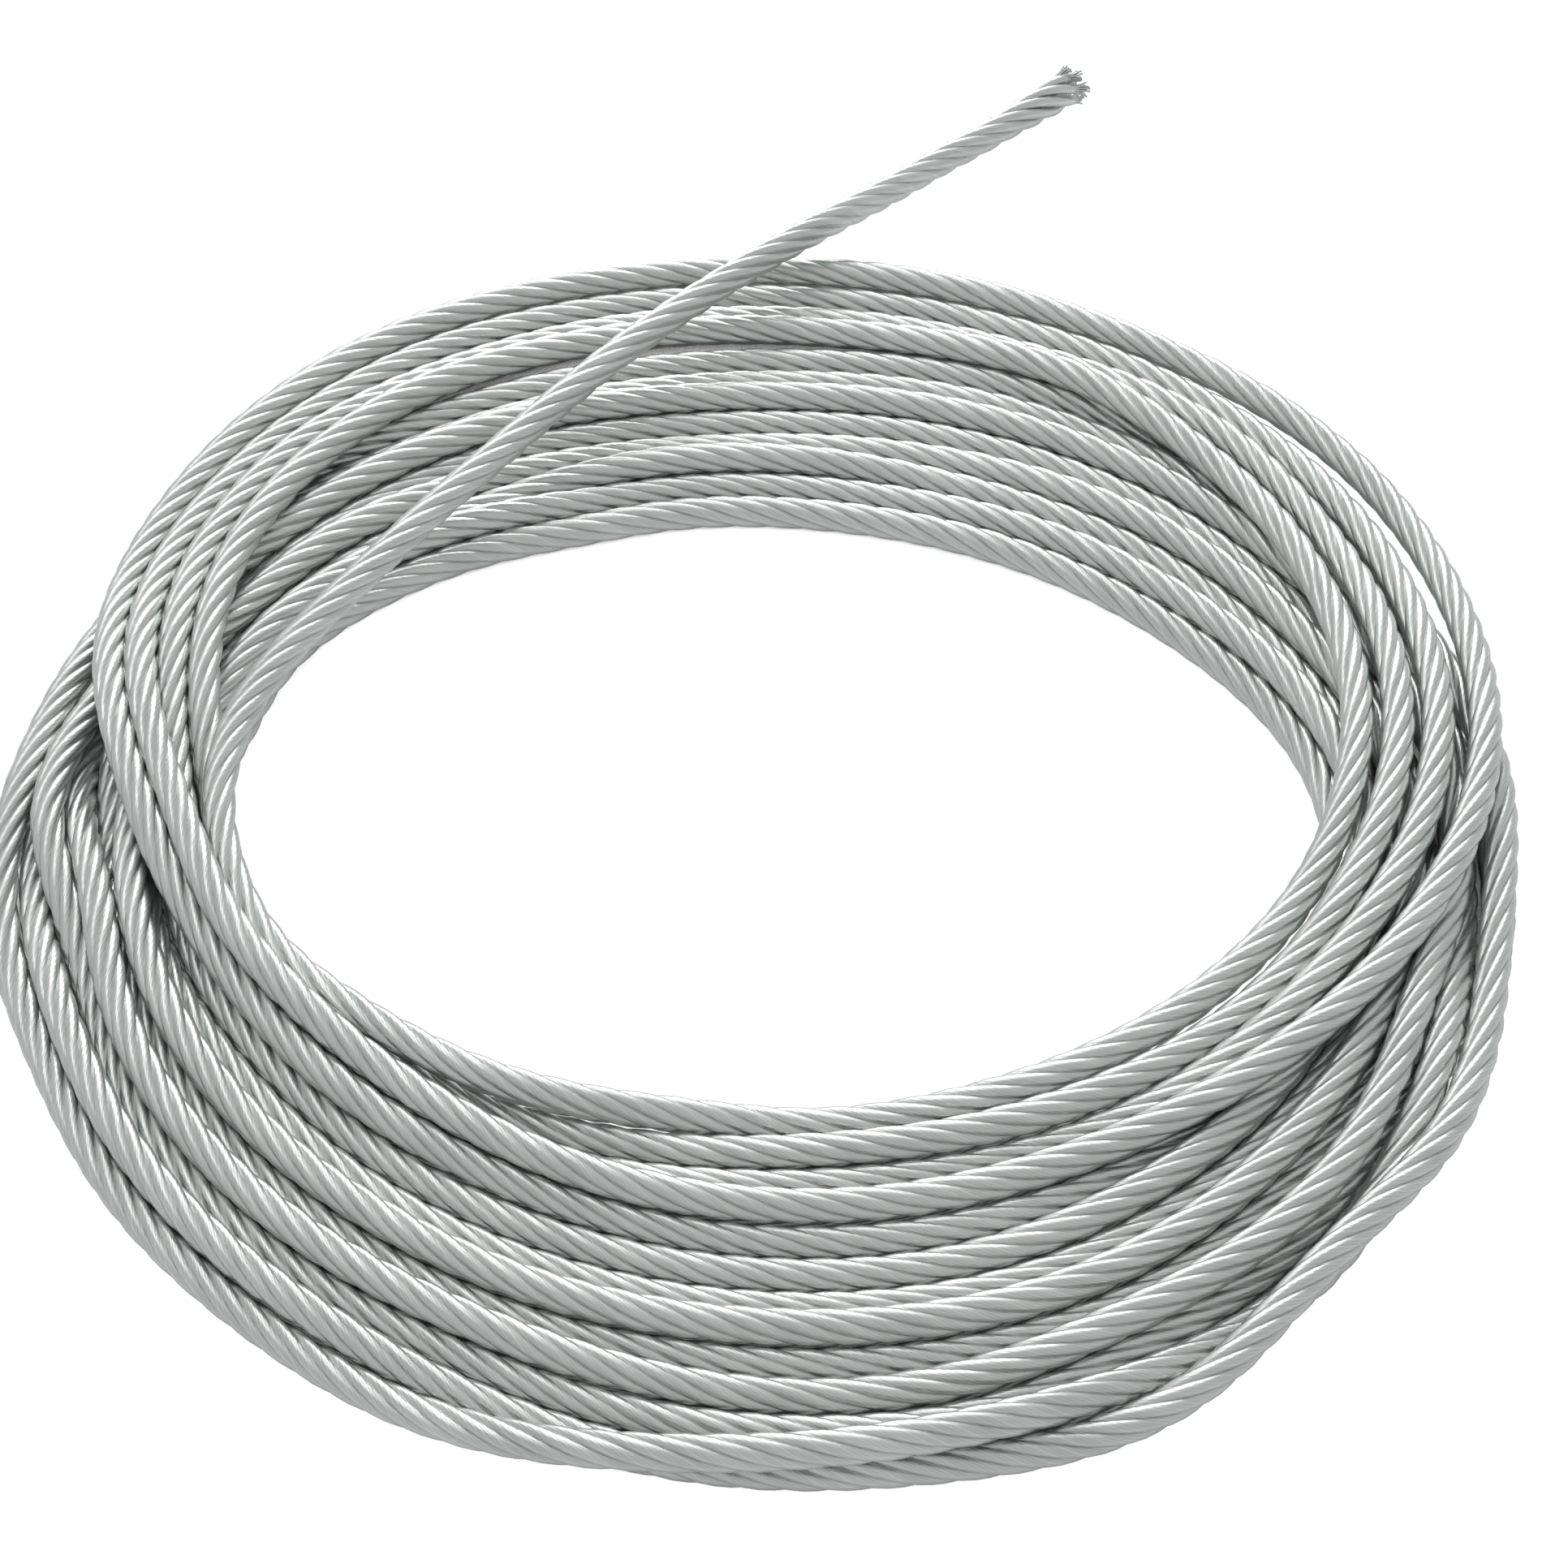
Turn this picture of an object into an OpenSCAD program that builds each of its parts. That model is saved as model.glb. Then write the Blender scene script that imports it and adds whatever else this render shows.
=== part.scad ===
// A hank of galvanised steel wire rope, coiled flat, with one cut end led out
// over the coil. The rope is 7x19: six outer strands laid right-handed round
// a core strand, each strand made of 19 wires. Millimetres. The coil's axis is Z
// and the floor under the coil is z = 0.

/* [Rope] */
// Diameter over the outer strands
rope_d = 6; // [5.8:0.1:6.2]
// Diameter of one strand, a little under a third of the rope
strand_d = 1.88; // [1.7:0.02:1.9]
// Length of rope in which an outer strand goes once round
lay_length = 39; // [34:1:46]
// Diameter of one wire
wire_d = 0.36; // [0.3:0.01:0.37]

/* [Coil] */
// Diameter over the outermost turns
coil_d = 268; // [264:2:276]
// Diameter of the clear eye inside the turns
eye_d = 132; // [124:2:140]
// Height of the piled turns
coil_h = 14; // [14:0.5:16]

/* [Cut end] */
// Length over which the strands have sprung apart
open_length = 24; // [16:1:28]
// How far an outer strand has moved out at the cut
spread = 0.8; // [0.4:0.1:1.6]
// Length of the bare wire ends beyond the strands
wire_end = 3; // [1:0.5:4]

/* [Hidden] */
// Radii of the coil's shoulders
inner_shoulder = 7;
outer_shoulder = 11;
// Steps in each shoulder's arc
shoulder_steps = 6;
// Radius of the lowest outer turn, where the side meets the floor
foot_r = rope_d / 2;
// Sides and rings of the swept pieces
rope_sides = 12;
strand_sides = 8;
steps_per_leg = 5;
strand_rings = 12;
// The free end's route: out of the top of the coil on its left side, over the back of
// the coil and down towards the floor behind it
free_route = [
    [-94, -7, 11], [-94, 2, 13], [-91, 12, 14], [-84, 25, 16],
    [-72, 40, 18], [-58, 59, 19], [-43, 76, 20], [-30, 93, 20],
    [-12, 112, 19], [6, 131, 16], [25, 151, 11], [37, 163, 9], [47, 172, 8]
];
// Where the strands start to open, and the way they point
open_at = free_route[len(free_route) - 1];
open_dir = unit([10, 10, -1]);
// Outer strands and the circle that their centres lie on
outer_strands = 6;
strand_circle = (rope_d - strand_d) / 2;
// Circles of wires in a strand: how many wires, and the radius of their centres
wire_pitch = strand_d / 5;
wire_rings = [[1, 0], [6, wire_pitch], [12, 2 * wire_pitch]];
steel = [0.72, 0.73, 0.73];
cut_steel = [0.58, 0.59, 0.60];

// ---- small vector functions ----

function unit(v) = v / norm(v);

// A point on the smooth curve between b and c
function curve_point(a, b, c, d, t) =
    0.5 * (2 * b + (c - a) * t + (2 * a - 5 * b + 4 * c - d) * t * t
        + (3 * b - a - 3 * c + d) * t * t * t);

// A smooth curve through the points of a route
function smooth(route, steps) =
    let (n = len(route) - 1)
    concat(
        [for (i = [0 : n - 1]) for (k = [0 : steps - 1])
            curve_point(route[max(i - 1, 0)], route[i], route[i + 1],
                route[min(i + 2, n)], k / steps)],
        [route[n]]
    );

// The direction of a path at each of its points, with its two ends given
function directions(path, first, last) =
    let (n = len(path) - 1)
    concat([first], [for (i = [1 : n - 1]) unit(path[i + 1] - path[i - 1])], [last]);

// The part of v square to the direction t
function square_to(v, t) = unit(v - (v * t) * t);

// ---- swept pieces ----

// A closed tube of radius r along a path, with the directions of its two ends
module swept_tube(path, r, sides, first, last) {
    n = len(path) - 1;
    along = directions(path, first, last);
    across = [
        for (i = 0, u = square_to([1, 0, 0], along[0]);
            i <= n;
            i = i + 1, u = square_to(u, along[min(i, n)])) u
    ];
    points = [
        for (i = [0 : n]) for (k = [0 : sides - 1])
            let (a = 360 * k / sides)
            path[i] + r * (cos(a) * across[i] + sin(a) * cross(along[i], across[i]))
    ];
    skin = [
        for (i = [0 : n - 1]) for (k = [0 : sides - 1])
            let (k2 = (k + 1) % sides)
            [i * sides + k, (i + 1) * sides + k, (i + 1) * sides + k2, i * sides + k2]
    ];
    first_face = [for (k = [0 : sides - 1]) k];
    last_face = [for (k = [sides - 1 : -1 : 0]) n * sides + k];
    polyhedron(points, concat(skin, [first_face, last_face]), convexity = 6);
}

// ---- the opened cut end, with the rope's line as local Z ----

// How far along the opened stretch s is, easing in and out
function opened(s) = let (t = s / open_length) t * t * (3 - 2 * t);

// A point on the line of outer strand k, s along the opened stretch
function strand_point(k, s) =
    let (
        turn = 360 * (k / outer_strands + s / lay_length),
        out = strand_circle + spread * opened(s)
    )
    [out * cos(turn), out * sin(turn), s];

// The line of a strand; the core strand is number 0
function strand_line(k) =
    [for (i = [0 : strand_rings])
        let (s = open_length * i / strand_rings)
        k == 0 ? [0, 0, s] : strand_point(k, s)];

// The direction of a strand at its cut
function strand_end_dir(k) =
    let (line = strand_line(k))
    unit(line[strand_rings] - line[strand_rings - 1]);

// Puts the local Z line of the opened stretch where the free end stops
module at_free_end() {
    translate(open_at)
        rotate([0, acos(open_dir[2]), atan2(open_dir[1], open_dir[0])])
            children();
}

// One strand of the opened stretch, starting flat on the end of the free end
module strand(k) {
    color(steel) at_free_end()
        swept_tube(strand_line(k), strand_d / 2, strand_sides, [0, 0, 1], strand_end_dir(k));
}

// The 19 bare wire ends beyond one strand
module wire_ends(k) {
    line = strand_line(k);
    dir = strand_end_dir(k);
    color(cut_steel) at_free_end()
        translate(line[strand_rings])
            rotate([0, acos(dir[2]), atan2(dir[1], dir[0])])
                for (ring = wire_rings) for (w = [0 : ring[0] - 1])
                    rotate(360 * w / ring[0])
                        translate([ring[1], 0, 0])
                            cylinder(h = wire_end, d = wire_d, $fn = 16);
}

// ---- the coil and the rope led out of it ----

// Half of the coil's cross-section, with a straight wall at the eye
function coil_outline() =
    let (
        eye_r = eye_d / 2,
        coil_r = coil_d / 2,
        in_c = [eye_r + inner_shoulder, coil_h - inner_shoulder],
        out_c = [coil_r - outer_shoulder, coil_h - outer_shoulder]
    )
    concat(
        [[eye_r, 0]],
        [for (i = [0 : shoulder_steps])
            let (a = 180 - 90 * i / shoulder_steps)
            in_c + inner_shoulder * [cos(a), sin(a)]],
        [for (i = [0 : shoulder_steps])
            let (a = 90 - 90 * i / shoulder_steps)
            out_c + outer_shoulder * [cos(a), sin(a)]],
        [for (i = [1 : shoulder_steps])
            let (a = -90 * i / shoulder_steps)
            [coil_r - foot_r, foot_r] + foot_r * [cos(a), sin(a)]]
    );

// All the piled turns of the coil as one ring
module wound_coil() {
    color(steel)
        rotate_extrude($fn = 120)
            polygon(coil_outline());
}

// The last stretch of rope, from inside the coil to where its strands open
module free_end() {
    color(steel)
        swept_tube(smooth(free_route, steps_per_leg), rope_d / 2, rope_sides,
            unit(free_route[1] - free_route[0]), open_dir);
}

wound_coil();
free_end();
strand(1);  // strand_1
strand(2);  // strand_2
strand(3);  // strand_3
strand(4);  // strand_4
strand(5);  // strand_5
strand(6);  // strand_6
strand(0);  // core_strand
wire_ends(1);  // wires_1
wire_ends(2);  // wires_2
wire_ends(3);  // wires_3
wire_ends(4);  // wires_4
wire_ends(5);  // wires_5
wire_ends(6);  // wires_6
wire_ends(0);  // core_wires
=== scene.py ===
"""A hank of 7x19 galvanised steel wire rope, coiled flat, one cut end led out over it."""

import math

import bpy
import numpy as np
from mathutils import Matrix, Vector


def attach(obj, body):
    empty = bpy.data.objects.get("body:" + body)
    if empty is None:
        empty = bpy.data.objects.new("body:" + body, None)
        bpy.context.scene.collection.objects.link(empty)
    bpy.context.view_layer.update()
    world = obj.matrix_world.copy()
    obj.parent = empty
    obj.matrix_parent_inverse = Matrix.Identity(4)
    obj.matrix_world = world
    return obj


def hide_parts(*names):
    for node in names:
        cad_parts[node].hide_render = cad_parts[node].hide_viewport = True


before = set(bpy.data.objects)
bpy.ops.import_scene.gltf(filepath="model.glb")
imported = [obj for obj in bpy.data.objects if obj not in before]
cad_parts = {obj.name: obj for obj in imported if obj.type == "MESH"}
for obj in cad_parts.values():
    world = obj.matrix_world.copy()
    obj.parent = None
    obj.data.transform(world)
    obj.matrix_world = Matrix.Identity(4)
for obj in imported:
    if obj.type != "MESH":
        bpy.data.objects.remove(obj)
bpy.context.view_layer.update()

# ---- sizes, in metres ----

ROPE_D = 0.006
STRANDS = 6
# One turn of a strand round the rope
LAY = 0.039
STRAND_D = 0.0020
# Strands inside the rope are pressed flat against each other, so their tubes overlap
PRESSED_D = 0.00225
WIRES_AROUND = 12
WIRE_D = 0.00036
# One turn of a wire round its strand
WIRE_LAY = 0.018
# The strands spring open over this length, and this far, at the cut
OPEN_LENGTH = 0.024
SPREAD = 0.0008
# Longest bare wire end, and how deep each is rooted in its strand
WIRE_END = 0.0030
WIRE_ROOT = 0.0008

# ---- the way the rope is wound: turns are counted from the hidden end ----

# The wound turns, up to where the free end's route takes over
TURNS = 12.49
# The turn at which the second sheet of turns starts
UPPER_FROM = 8.25
# The last turn at which the rope is still pushed apart from the other turns
LAST_TURN = 12.755
# Points to a turn
STEPS = 120
# Radii, in rope diameters, of the first and the last turn of each of the two sheets of
# turns, every 30 degrees round the coil from its right side
LOWER_FIRST = (21.9, 21.4, 20.0, 18.9, 19.4, 20.6, 21.2, 21.8, 21.6, 22.1, 22.6, 22.2)
LOWER_LAST = (16.8, 14.0, 12.0, 11.4, 12.2, 14.4, 16.6, 15.8, 14.9, 14.8, 15.6, 16.6)
UPPER_FIRST = (21.8, 23.3, 22.9, 22.5, 22.9, 21.5, 18.1, 15.6, 14.6, 14.4, 15.6, 18.6)
UPPER_LAST = (16.6, 18.0, 19.0, 19.0, 18.9, 17.6, 15.9, 13.4, 11.7, 11.0, 11.8, 14.0)
# The rope climbs to the second sheet within this part of a turn
CLIMB = 0.3
# The hidden end is tucked in under the pile: how many diameters, and over how many turns
TUCK, TUCK_TURNS = 1.6, 0.45
# Hand-wound turns wander: by how many diameters, how many waves to a turn, and a phase
WANDER = ((0.08, 1.37, 0.5), (0.048, 2.23, 1.9), (0.032, 3.61, 0.2))
# On the left front the last turn crosses over the two before it: the turn at which each
# passes the crossing, how far it is lifted there and how far it is moved out
CROSSING = ((10.42, -1.4, 0.5), (11.42, -1.4, 0.5), (12.42, 0.8, 0))
CROSSING_TURNS = 0.18
# The last points before the free end's route bend smoothly into it
RUN_IN = 24
# The turns are pushed apart in this many rounds, and in this share of them they also drift
# back to where they were laid
SETTLING_ROUNDS = 450
DRIFTING_SHARE = 0.8
# The free end's route over the back of the coil, in metres. It passes clear of the turns
FREE_ROUTE = (
    (-0.094, -0.007, 0.011), (-0.094, 0.002, 0.013), (-0.091, 0.012, 0.014),
    (-0.084, 0.025, 0.016), (-0.072, 0.040, 0.018), (-0.058, 0.059, 0.019),
    (-0.043, 0.076, 0.020), (-0.030, 0.093, 0.020), (-0.012, 0.112, 0.019),
    (0.006, 0.131, 0.016), (0.025, 0.151, 0.011), (0.037, 0.163, 0.009),
    (0.047, 0.172, 0.008), (0.064, 0.189, 0.006),
)
ROUTE_STEPS = 10


def eased(x):
    x = np.clip(x, 0, 1)
    return x * x * (3 - 2 * x)


def smooth_blend(a, b, c, d, f):
    """Catmull-Rom curve from b to c, with a before them and d after them."""
    return 0.5 * (2 * b + (c - a) * f + (2 * a - 5 * b + 4 * c - d) * f**2
                  + (3 * b - a - 3 * c + d) * f**3)


def around(values, degrees):
    """A smooth closed curve through values that are evenly spaced round the coil."""
    v = np.array(values, float)
    place = (degrees % 360) * len(v) / 360
    i = np.floor(place).astype(int)
    return smooth_blend(*(v[(i + k) % len(v)] for k in (-1, 0, 1, 2)), place - i)


def smooth_line(points, steps):
    """A smooth line through points, with steps points to each leg."""
    p = np.array(points, float)
    p = np.vstack([2 * p[0] - p[1], p, 2 * p[-1] - p[-2]])
    f = np.linspace(0, 1, steps, endpoint=False)[:, None]
    legs = [smooth_blend(*leg, f) for leg in zip(p[:-3], p[1:-2], p[2:-1], p[3:])]
    return np.vstack([*legs, p[-2]])


def sheet(first, last, azimuth, done):
    """Radius of a sheet of turns that goes from its first outline to its last."""
    done = np.clip(done, 0, 1)
    return around(first, azimuth) * (1 - done) + around(last, azimuth) * done


def pile(turn, azimuth):
    """Where hands would lay the turns: radius and height, in rope diameters."""
    lower = sheet(LOWER_FIRST, LOWER_LAST, azimuth, turn / UPPER_FROM)
    upper = sheet(UPPER_FIRST, UPPER_LAST, azimuth, (turn - UPPER_FROM) / (TURNS - UPPER_FROM))
    risen = eased((turn - UPPER_FROM) / CLIMB + 0.5)
    radius = lower + (upper - lower) * risen
    radius -= TUCK * (1 - eased(turn / TUCK_TURNS))
    for size, pace, phase in WANDER:
        radius += size * np.sin(2 * np.pi * turn * pace + phase)
    # The second sheet starts out on top of the first at the coil's two sides and beside it at
    # the front and the back, where the turns rise and fall over three turns. Under it, every
    # other turn of the first sheet is raised at the sides
    side = np.abs(np.cos(np.radians(azimuth)))
    height = 0.5 + 1.6 * risen * side**1.5
    height += 0.3 * (1 - np.cos(2 * np.pi * (turn - 1.25) / 3)) * (1 - side)
    height += 0.45 * side * (1 - np.cos(np.pi * turn)) * (1 - risen)
    for passing, lift, out in CROSSING:
        near = eased(1 - np.abs(turn - passing) / CROSSING_TURNS)
        height += lift * near
        radius += out * near
    return radius, height


def wound_turns():
    """Azimuth, radius and height of the turns, then the free end's route and its azimuth."""
    turn = np.arange(round(LAST_TURN * STEPS) + 1) / STEPS
    azimuth = -360 * turn
    radius, height = pile(turn, azimuth)
    # The free end's route takes over from the last turn on the coil's left side
    route = smooth_line(FREE_ROUTE, ROUTE_STEPS) / ROPE_D
    route_azimuth = np.degrees(np.arctan2(route[:, 1], route[:, 0])) % 360
    order = np.argsort(route_azimuth)
    led = round((TURNS - 0.02) * STEPS)
    here = azimuth[led:] % 360
    radius[led:] = np.interp(here, route_azimuth[order], np.hypot(*route[order, :2].T))
    height[led:] = np.interp(here, route_azimuth[order], route[order, 2])
    run_in = eased(np.linspace(0, 1, RUN_IN))
    radius[led - RUN_IN:led] += (radius[led] - radius[led - 1]) * run_in
    height[led - RUN_IN:led] += (height[led] - height[led - RUN_IN:led]) * run_in
    held = eased((turn - TURNS + 0.03) / 0.12)
    return azimuth, *settled(radius, height, held), route, route_azimuth


def settled(radius, height, held):
    """Lets the turns sink and pushes apart those that lie under a diameter from each other.

    Only points at the same azimuth are compared, so where turns run at a slant to the circle
    they end up as much as 7% of a diameter too close. Points that are held, from 0 to 1,
    mostly keep their place and the others give way to them."""
    n = len(radius)
    rows = math.ceil(n / STEPS)

    def by_turn(v, fill=np.nan):
        grid = np.full(rows * STEPS, fill)
        grid[:n] = v
        return grid.reshape(rows, STEPS)

    a, b = np.triu_indices(rows, 1)
    weight = by_turn(1 + 59 * held, 1.0)
    share_a = weight[b] / (weight[a] + weight[b])
    wanted = radius.copy(), height.copy()
    pull = 0.05 + 0.25 * held, 0.02 + 0.18 * held
    sinking = 0.008 * (1 - held)
    for step in range(SETTLING_ROUNDS):
        if step < DRIFTING_SHARE * SETTLING_ROUNDS:
            radius += (wanted[0] - radius) * pull[0]
            height += (wanted[1] - height) * pull[1] - sinking
        # A stiff rope has no sharp bends
        for v in (radius, height):
            v[2:-2] += 0.5 * ((4 * (v[1:-3] + v[3:-1]) - v[:-4] - v[4:]) / 6 - v[2:-2])
        for _ in range(3):
            r, z = by_turn(radius), by_turn(height)
            dr, dz = r[b] - r[a], z[b] - z[a]
            gap = np.hypot(dr, dz) + 1e-9
            push = np.nan_to_num(np.clip(1 - gap, 0, None))
            dr, dz = np.nan_to_num(dr / gap), np.nan_to_num(dz / gap)
            moved_r, moved_z, touching = (np.zeros((rows, STEPS)) for _ in range(3))
            for rows_moved, part in ((b, 1 - share_a), (a, -share_a)):
                np.add.at(moved_r, rows_moved, push * dr * part)
                np.add.at(moved_z, rows_moved, push * dz * part)
                np.add.at(touching, rows_moved, push > 0)
            ease = 1 / np.maximum(1, 0.6 * touching)
            radius += (moved_r * ease).ravel()[:n]
            height += (moved_z * ease).ravel()[:n]
            height = np.maximum(height, 0.5)
    return radius, height


def rope_line():
    """The whole rope's centreline, in metres, from the hidden end to the cut end."""
    azimuth, radius, height, route, route_azimuth = wound_turns()
    a = np.radians(azimuth)
    wound = np.column_stack([radius * np.cos(a), radius * np.sin(a), height])
    after = route_azimuth < azimuth[-1] % 360 - 1
    return np.vstack([wound, route[after]]) * ROPE_D


def respaced(line, spacing):
    """The smooth line through a line's points, with points at even distances."""
    fine = smooth_line(line, 8)
    along = np.concatenate([[0], np.cumsum(np.linalg.norm(np.diff(fine, axis=0), axis=1))])
    at = np.linspace(0, along[-1], round(along[-1] / spacing) + 1)
    return np.column_stack([np.interp(at, along, fine[:, k]) for k in range(3)]), at


def frames(line):
    """Directions along a line and, without twist, two square to it at each point."""
    t = np.gradient(line, axis=0)
    t /= np.linalg.norm(t, axis=1)[:, None]
    u = np.zeros_like(t)
    u[0] = np.cross(t[0], (0, 0, 1))
    for i in range(len(t)):
        u[i] = u[max(i - 1, 0)]
        u[i] -= t[i] * (t[i] @ u[i])
        u[i] /= np.linalg.norm(u[i])
    return t, u, np.cross(t, u)


def tube(name, line, sides, radius, s):
    """A closed round tube along a line. U runs round it and V along it, as s says."""
    _, u, w = frames(line)
    n = len(line)
    a = 2 * np.pi * np.arange(sides) / sides
    ring = u[:, None] * np.cos(a)[None, :, None] + w[:, None] * np.sin(a)[None, :, None]
    points = line[:, None] + ring * np.broadcast_to(radius, n)[:, None, None]
    verts = np.vstack([points.reshape(-1, 3), line[0], line[-1]])
    i, k = np.meshgrid(np.arange(n - 1), np.arange(sides), indexing="ij")
    k2 = (k + 1) % sides
    quads = np.stack([i * sides + k, i * sides + k2, (i + 1) * sides + k2,
                      (i + 1) * sides + k], -1).reshape(-1, 4)
    first, last, rim = n * sides, n * sides + 1, (n - 1) * sides
    pairs = [(p, (p + 1) % sides) for p in range(sides)]
    ends = [(first, q, p) for p, q in pairs] + [(last, rim + p, rim + q) for p, q in pairs]
    mesh = bpy.data.meshes.new(name)
    mesh.from_pydata(verts.tolist(), [], quads.tolist() + ends)
    mesh.update()
    # The two ends have a V of -1
    coords = np.zeros((len(mesh.loops), 2))
    coords[: quads.size, 0] = (k[:, :, None] + np.array((0, 1, 1, 0))).ravel() / sides
    coords[: quads.size, 1] = s[(i[:, :, None] + np.array((0, 0, 1, 1))).ravel()]
    coords[quads.size:, 1] = -1
    uv = mesh.uv_layers.new(name="lay")
    uv.data.foreach_set("uv", coords.ravel().astype(np.float32))
    mesh.polygons.foreach_set("use_smooth", np.arange(len(mesh.polygons)) < len(quads))
    obj = bpy.data.objects.new(name, mesh)
    bpy.context.scene.collection.objects.link(obj)
    return obj


# ---- materials ----


def socket_value(node, name, value):
    node.inputs[name].default_value = value


def zinc_strand():
    """Zinc-coated drawn wires laid side by side round the strand, as grooves and crests, with
    painted shade darkening the grooves.
    """
    mat = bpy.data.materials.new("zinc_strand")
    mat.use_nodes = True
    tree = mat.node_tree
    nodes, links = tree.nodes, tree.links
    nodes.clear()

    def add(kind, **values):
        node = nodes.new(kind)
        for key, value in values.items():
            setattr(node, key, value)
        return node

    def math_node(op, a, b=None):
        node = add("ShaderNodeMath", operation=op)
        for i, value in enumerate((a, b)):
            if value is None:
                continue
            if isinstance(value, (int, float)):
                node.inputs[i].default_value = value
            else:
                links.new(value, node.inputs[i])
        return node.outputs[0]

    def noise(scale, detail):
        node = add("ShaderNodeTexNoise", noise_dimensions="3D")
        links.new(coords.outputs["Object"], node.inputs["Vector"])
        socket_value(node, "Scale", scale)
        socket_value(node, "Detail", detail)
        return node.outputs[0]

    uv = add("ShaderNodeUVMap", uv_map="lay")
    split = add("ShaderNodeSeparateXYZ")
    links.new(uv.outputs[0], split.inputs[0])
    around_strand, along = split.outputs[0], split.outputs[1]
    # The wires are drawn with the same hand as the strands
    turn = math_node("ADD", around_strand, math_node("MULTIPLY", along, -1 / WIRE_LAY))
    wire = math_node("MULTIPLY", turn, float(WIRES_AROUND))
    off = math_node("ABSOLUTE", math_node("SUBTRACT", math_node("FRACT", wire), 0.5))
    # Height of a round wire across its width
    crown = math_node("SQRT", math_node("SUBTRACT", 1.0, math_node(
        "POWER", math_node("MULTIPLY", off, 1.9), 2.0)))
    # Each wire has a tone of its own
    tone = add("ShaderNodeTexWhiteNoise", noise_dimensions="1D")
    links.new(math_node("FLOOR", wire), tone.inputs["W"])
    coords = add("ShaderNodeTexCoord")
    grain = noise(900.0, 3.0)
    cloud = noise(60.0, 4.0)

    # Painted shade: the base colour is darker in the grooves between the wires than on their crests
    groove_shade_ramp = add("ShaderNodeValToRGB")
    painted_groove_shade, crest = groove_shade_ramp.color_ramp.elements
    painted_groove_shade.position, painted_groove_shade.color = 0.15, (0.44, 0.46, 0.45, 1)
    crest.position, crest.color = 0.75, (0.63, 0.655, 0.64, 1)
    links.new(crown, groove_shade_ramp.inputs[0])
    blotch = math_node("ADD", 0.82, math_node("ADD", math_node(
        "MULTIPLY", cloud, 0.24), math_node("MULTIPLY", tone.outputs[0], 0.12)))
    colour = add("ShaderNodeVectorMath", operation="SCALE")
    links.new(groove_shade_ramp.outputs[0], colour.inputs[0])
    links.new(blotch, colour.inputs["Scale"])

    bsdf = add("ShaderNodeBsdfPrincipled")
    socket_value(bsdf, "Metallic", 0.85)
    links.new(colour.outputs[0], bsdf.inputs["Base Color"])
    rough = math_node("ADD", 0.26, math_node("MULTIPLY", grain, 0.16))
    links.new(rough, bsdf.inputs["Roughness"])
    bump = add("ShaderNodeBump")
    socket_value(bump, "Strength", 0.18)
    socket_value(bump, "Distance", WIRE_D / 2)
    relief = math_node("ADD", crown, math_node("MULTIPLY", grain, 0.12))
    links.new(relief, bump.inputs["Height"])
    links.new(bump.outputs[0], bsdf.inputs["Normal"])
    out = add("ShaderNodeOutputMaterial")
    links.new(bsdf.outputs[0], out.inputs[0])
    return mat


def cut_wire():
    """Single zinc-coated wire, duller and darker than the strands."""
    mat = bpy.data.materials.new("cut_wire")
    mat.use_nodes = True
    tree = mat.node_tree
    bsdf = tree.nodes["Principled BSDF"]
    socket_value(bsdf, "Metallic", 1.0)
    coords = tree.nodes.new("ShaderNodeTexCoord")
    grain = tree.nodes.new("ShaderNodeTexNoise")
    socket_value(grain, "Scale", 1500.0)
    socket_value(grain, "Detail", 3.0)
    tree.links.new(coords.outputs["Object"], grain.inputs["Vector"])
    ramp = tree.nodes.new("ShaderNodeValToRGB")
    ramp.color_ramp.elements[0].color = (0.38, 0.39, 0.40, 1)
    ramp.color_ramp.elements[1].color = (0.62, 0.64, 0.64, 1)
    tree.links.new(grain.outputs[0], ramp.inputs[0])
    tree.links.new(ramp.outputs[0], bsdf.inputs["Base Color"])
    rough = tree.nodes.new("ShaderNodeMapRange")
    socket_value(rough, "To Min", 0.28)
    socket_value(rough, "To Max", 0.5)
    tree.links.new(grain.outputs[0], rough.inputs[0])
    tree.links.new(rough.outputs[0], bsdf.inputs["Roughness"])
    bump = tree.nodes.new("ShaderNodeBump")
    socket_value(bump, "Strength", 0.3)
    socket_value(bump, "Distance", WIRE_D / 12)
    tree.links.new(grain.outputs[0], bump.inputs["Height"])
    tree.links.new(bump.outputs[0], bsdf.inputs["Normal"])
    return mat


# ---- the rope ----


def opened(left):
    """How far the strands have sprung open, from 0 to 1, left metres from the cut."""
    return eased(1 - left / OPEN_LENGTH)


def strand_width(left):
    """Diameter of a strand, left metres from the cut."""
    return PRESSED_D + (STRAND_D - PRESSED_D) * opened(left)


def strand_line(k, line, at, u, w):
    """Centreline of outer strand k: right-hand lay round the rope, open at the cut."""
    left = at[-1] - at
    out = (ROPE_D - strand_width(left)) / 2 + SPREAD * opened(left)
    turn = 2 * np.pi * (k / STRANDS + at / LAY)
    return line + out[:, None] * (u * np.cos(turn)[:, None] + w * np.sin(turn)[:, None])


def joined(pieces, name):
    """One object made of several, under one name."""
    for piece in pieces:
        piece.select_set(True)
    whole = pieces[0]
    with bpy.context.temp_override(active_object=whole, selected_editable_objects=pieces,
                                   selected_objects=pieces):
        bpy.ops.object.join()
    whole.name = name
    whole.data.name = name
    return whole


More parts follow.
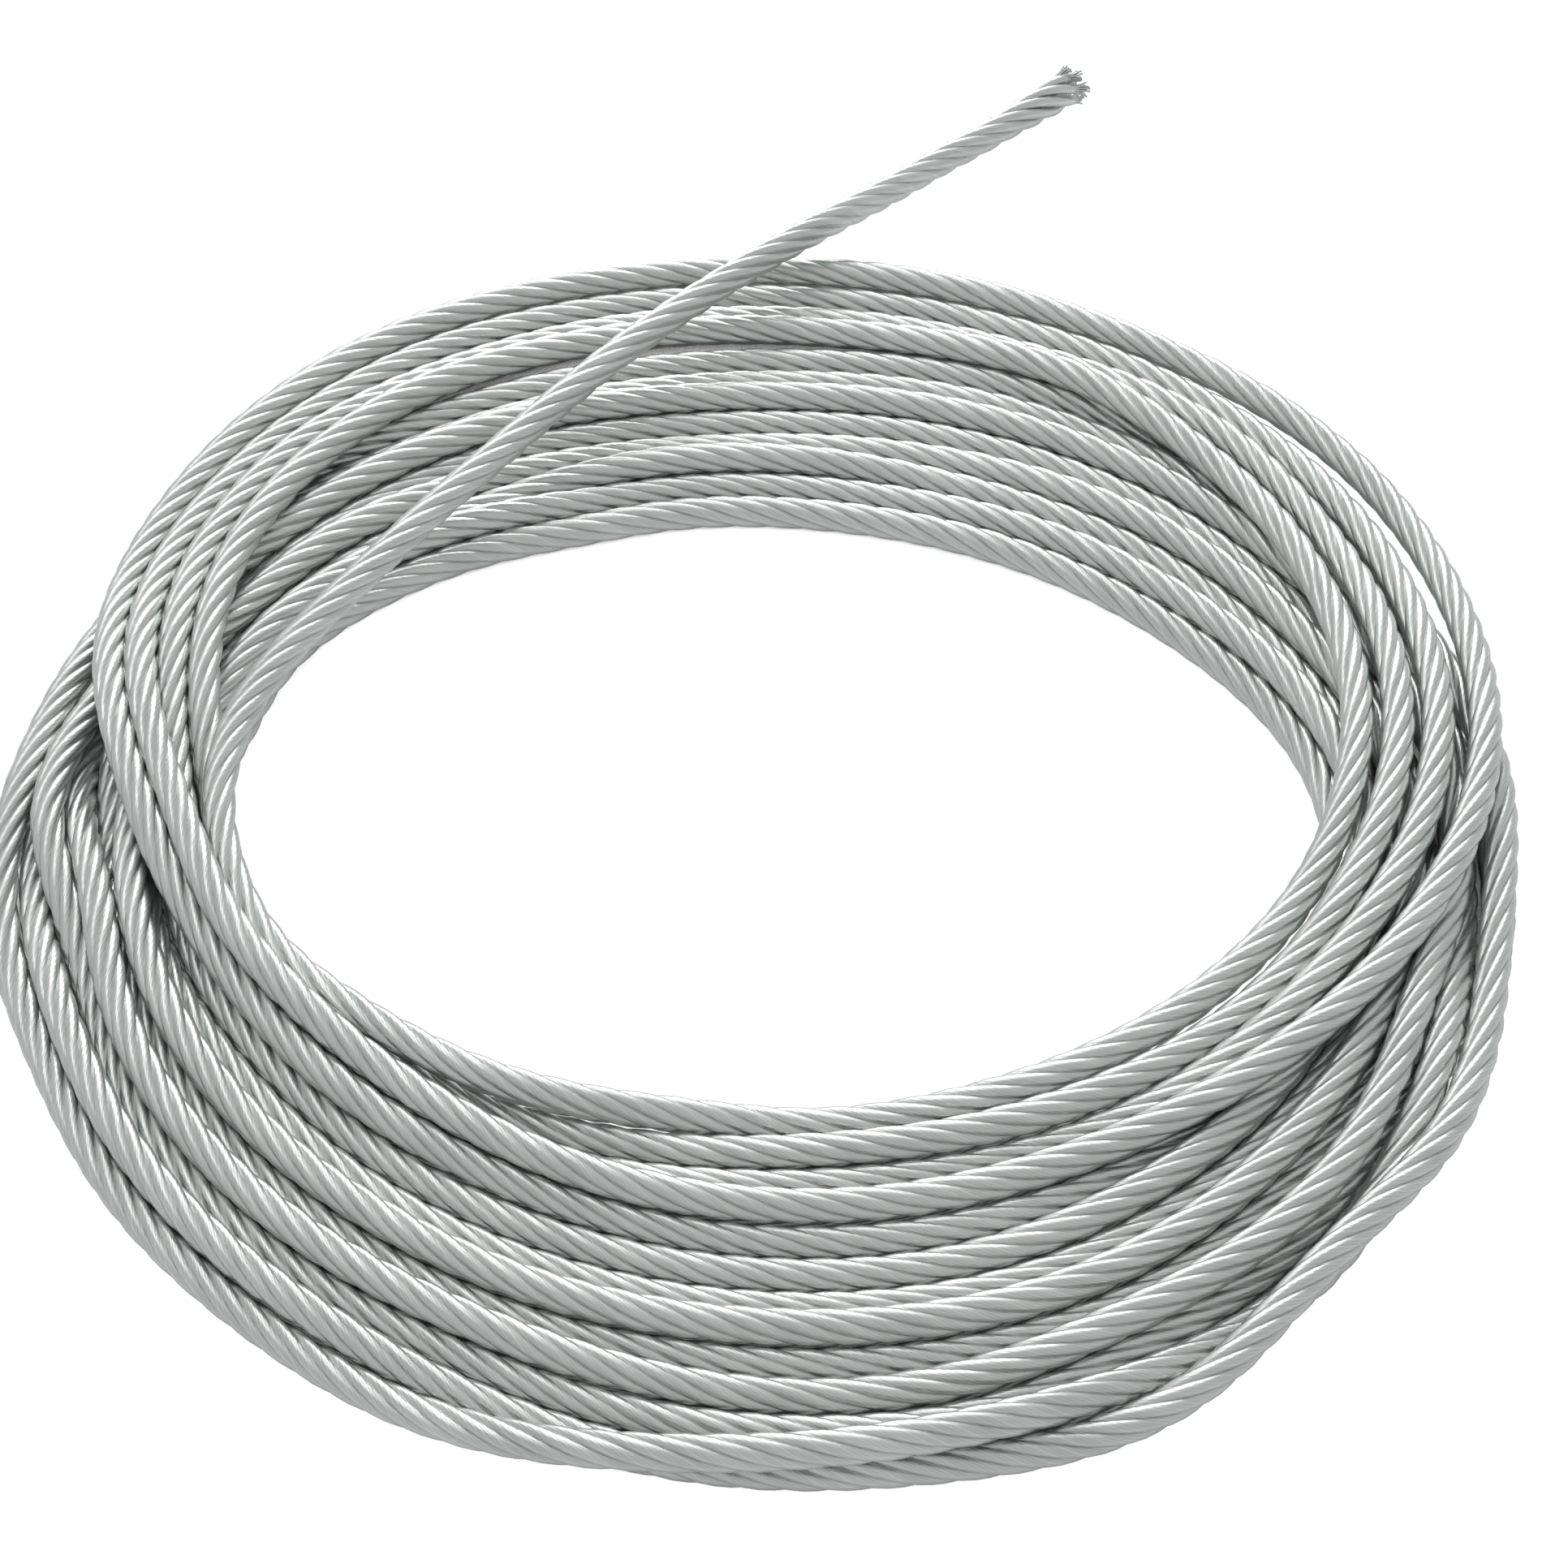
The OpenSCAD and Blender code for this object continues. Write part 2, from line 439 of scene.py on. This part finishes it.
def wire_ends(name, strand, seed):
    """The bare ends of a strand's 19 wires, a little splayed and cut uneven."""
    rng = np.random.default_rng(seed)
    start, d = strand[-1], strand[-1] - strand[-2]
    d = d / np.linalg.norm(d)
    u = np.cross(d, (0, 0, 1))
    u /= np.linalg.norm(u)
    w = np.cross(d, u)
    # One wire in the middle, a ring of 6 round it and a ring of 12 round those
    places = [(0, 0.0)]
    places += [(WIRE_D * 1.05, a) for a in np.arange(6) * math.pi / 3]
    places += [(WIRE_D * 2.15, a) for a in np.arange(12) * math.pi / 6 + 0.2]
    s = np.linspace(0, 1, 6)
    wires = []
    for r, a in places:
        out = u * math.cos(a) + w * math.sin(a)
        root = start - d * WIRE_ROOT + out * r
        length = WIRE_END * rng.uniform(0.6, 1.0)
        lean = out * rng.uniform(0.0, 0.22) + (u * rng.normal() + w * rng.normal()) * 0.06
        path = root + d * (length + WIRE_ROOT) * s[:, None] + lean * length * s[:, None]**2
        wires.append(tube(f"{name}_{len(wires)}", path, 10, WIRE_D / 2, s * WIRE_END))
    return joined(wires, name)


def finish_pieces(pieces, material):
    """Gives pieces their material and lets them ride on the rope."""
    for piece in pieces:
        piece.data.materials.append(material)
        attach(piece, "rope")


def build_rope():
    centre = rope_line()
    line, at = respaced(centre, LAY / 18)
    _, u, w = frames(line)
    strands, wires = [], []
    for k in range(STRANDS):
        path = strand_line(k, line, at, u, w)
        width = strand_width(at[-1] - at)
        strands.append(tube(f"rope_strand_{k + 1}", path, 14, width / 2, at))
        wires.append(wire_ends(f"rope_wires_{k + 1}", path, k + 1))
        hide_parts(f"strand_{k + 1}")
        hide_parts(f"wires_{k + 1}")
    core_line, core_at = respaced(centre, LAY / 8)
    core = tube("rope_core_strand", core_line, 10, STRAND_D / 2, core_at)
    wires.append(wire_ends("rope_core_wires", core_line, STRANDS + 1))
    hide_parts("wound_coil", "free_end")
    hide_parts("core_strand")
    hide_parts("core_wires")
    finish_pieces([*strands, core], zinc_strand())
    finish_pieces(wires, cut_wire())


# ---- camera, floor and light ----


def build_camera():
    elevation, distance = math.radians(52), 95 * ROPE_D
    # The middle of the picture, in rope diameters
    aim = Vector((0.73, -1.7, 0)) + 2.32 * Vector((0, math.sin(elevation), math.cos(elevation)))
    back = Vector((0, -math.cos(elevation), math.sin(elevation)))
    data = bpy.data.cameras.new("camera")
    data.lens = 74.87
    data.sensor_width = 36
    data.clip_start, data.clip_end = 0.05, 10
    camera = bpy.data.objects.new("camera", data)
    camera.location = aim * ROPE_D + back * distance
    camera.rotation_mode = "QUATERNION"
    camera.rotation_quaternion = (-back).to_track_quat("-Z", "Y")
    bpy.context.scene.collection.objects.link(camera)
    bpy.context.scene.camera = camera


def white_to_camera(tree, shader, output):
    """A blown-out white backdrop where the camera sees it, and shader for all else."""
    white = tree.nodes.new(
        "ShaderNodeBackground" if output.type == "OUTPUT_WORLD" else "ShaderNodeEmission")
    socket_value(white, "Color", (1, 1, 1, 1))
    socket_value(white, "Strength", 1.05)
    rays = tree.nodes.new("ShaderNodeLightPath")
    mix = tree.nodes.new("ShaderNodeMixShader")
    tree.links.new(rays.outputs["Is Camera Ray"], mix.inputs[0])
    tree.links.new(shader, mix.inputs[1])
    tree.links.new(white.outputs[0], mix.inputs[2])
    tree.links.new(mix.outputs[0], output.inputs[0])
    return white


def build_floor():
    half = 3.0
    mesh = bpy.data.meshes.new("floor")
    mesh.from_pydata([(-half, -half, 0), (half, -half, 0), (half, half, 0), (-half, half, 0)],
                     [], [(0, 1, 2, 3)])
    floor = bpy.data.objects.new("floor", mesh)
    mat = bpy.data.materials.new("floor")
    mat.use_nodes = True
    tree = mat.node_tree
    bsdf = tree.nodes["Principled BSDF"]
    socket_value(bsdf, "Base Color", (0.9, 0.9, 0.9, 1))
    socket_value(bsdf, "Roughness", 0.9)
    white = white_to_camera(tree, bsdf.outputs[0], tree.nodes["Material Output"])
    # Painted shade: ambient occlusion dims the floor's white to the camera, so the floor is dark
    # only deep in the gaps between turns
    gap_occlusion = tree.nodes.new("ShaderNodeAmbientOcclusion")
    gap_occlusion.samples = 8
    socket_value(gap_occlusion, "Distance", 3 * ROPE_D)
    painted_gap_shade = tree.nodes.new("ShaderNodeMapRange")
    for name, value in (("From Min", 0.08), ("From Max", 0.26), ("To Min", 0.02), ("To Max", 1.05)):
        socket_value(painted_gap_shade, name, value)
    tree.links.new(gap_occlusion.outputs["AO"], painted_gap_shade.inputs[0])
    tree.links.new(painted_gap_shade.outputs[0], white.inputs["Strength"])
    mesh.materials.append(mat)
    bpy.context.scene.collection.objects.link(floor)


def area_light(name, place, width, height, watts):
    """A rectangular light that faces the coil."""
    data = bpy.data.lights.new(name, "AREA")
    data.shape = "RECTANGLE"
    data.size, data.size_y = width, height
    data.energy = watts
    lamp = bpy.data.objects.new(name, data)
    lamp.location = place
    lamp.rotation_mode = "QUATERNION"
    lamp.rotation_quaternion = (-Vector(place)).to_track_quat("-Z", "Y")
    bpy.context.scene.collection.objects.link(lamp)


def build_light():
    world = bpy.data.worlds.new("studio")
    world.use_nodes = True
    tree = world.node_tree
    background = tree.nodes["Background"]
    socket_value(background, "Color", (1, 1, 1, 1))
    socket_value(background, "Strength", 0.62)
    white_to_camera(tree, background.outputs[0], tree.nodes["World Output"])
    bpy.context.scene.world = world
    # A low bright wall behind the coil draws the thin streak along each strand
    area_light("back_wall", (-0.15, 1.25, 0.7), width=0.8, height=1.0, watts=9.5)
    # A soft light high on the left lifts the turns at the front left and the back
    area_light("top_left", (-0.36, 0.30, 1.10), width=0.45, height=0.45, watts=1.4)


build_camera()
build_rope()
build_floor()
build_light()
scene = bpy.context.scene
scene.view_settings.view_transform = "Standard"
scene.view_settings.look = "None"
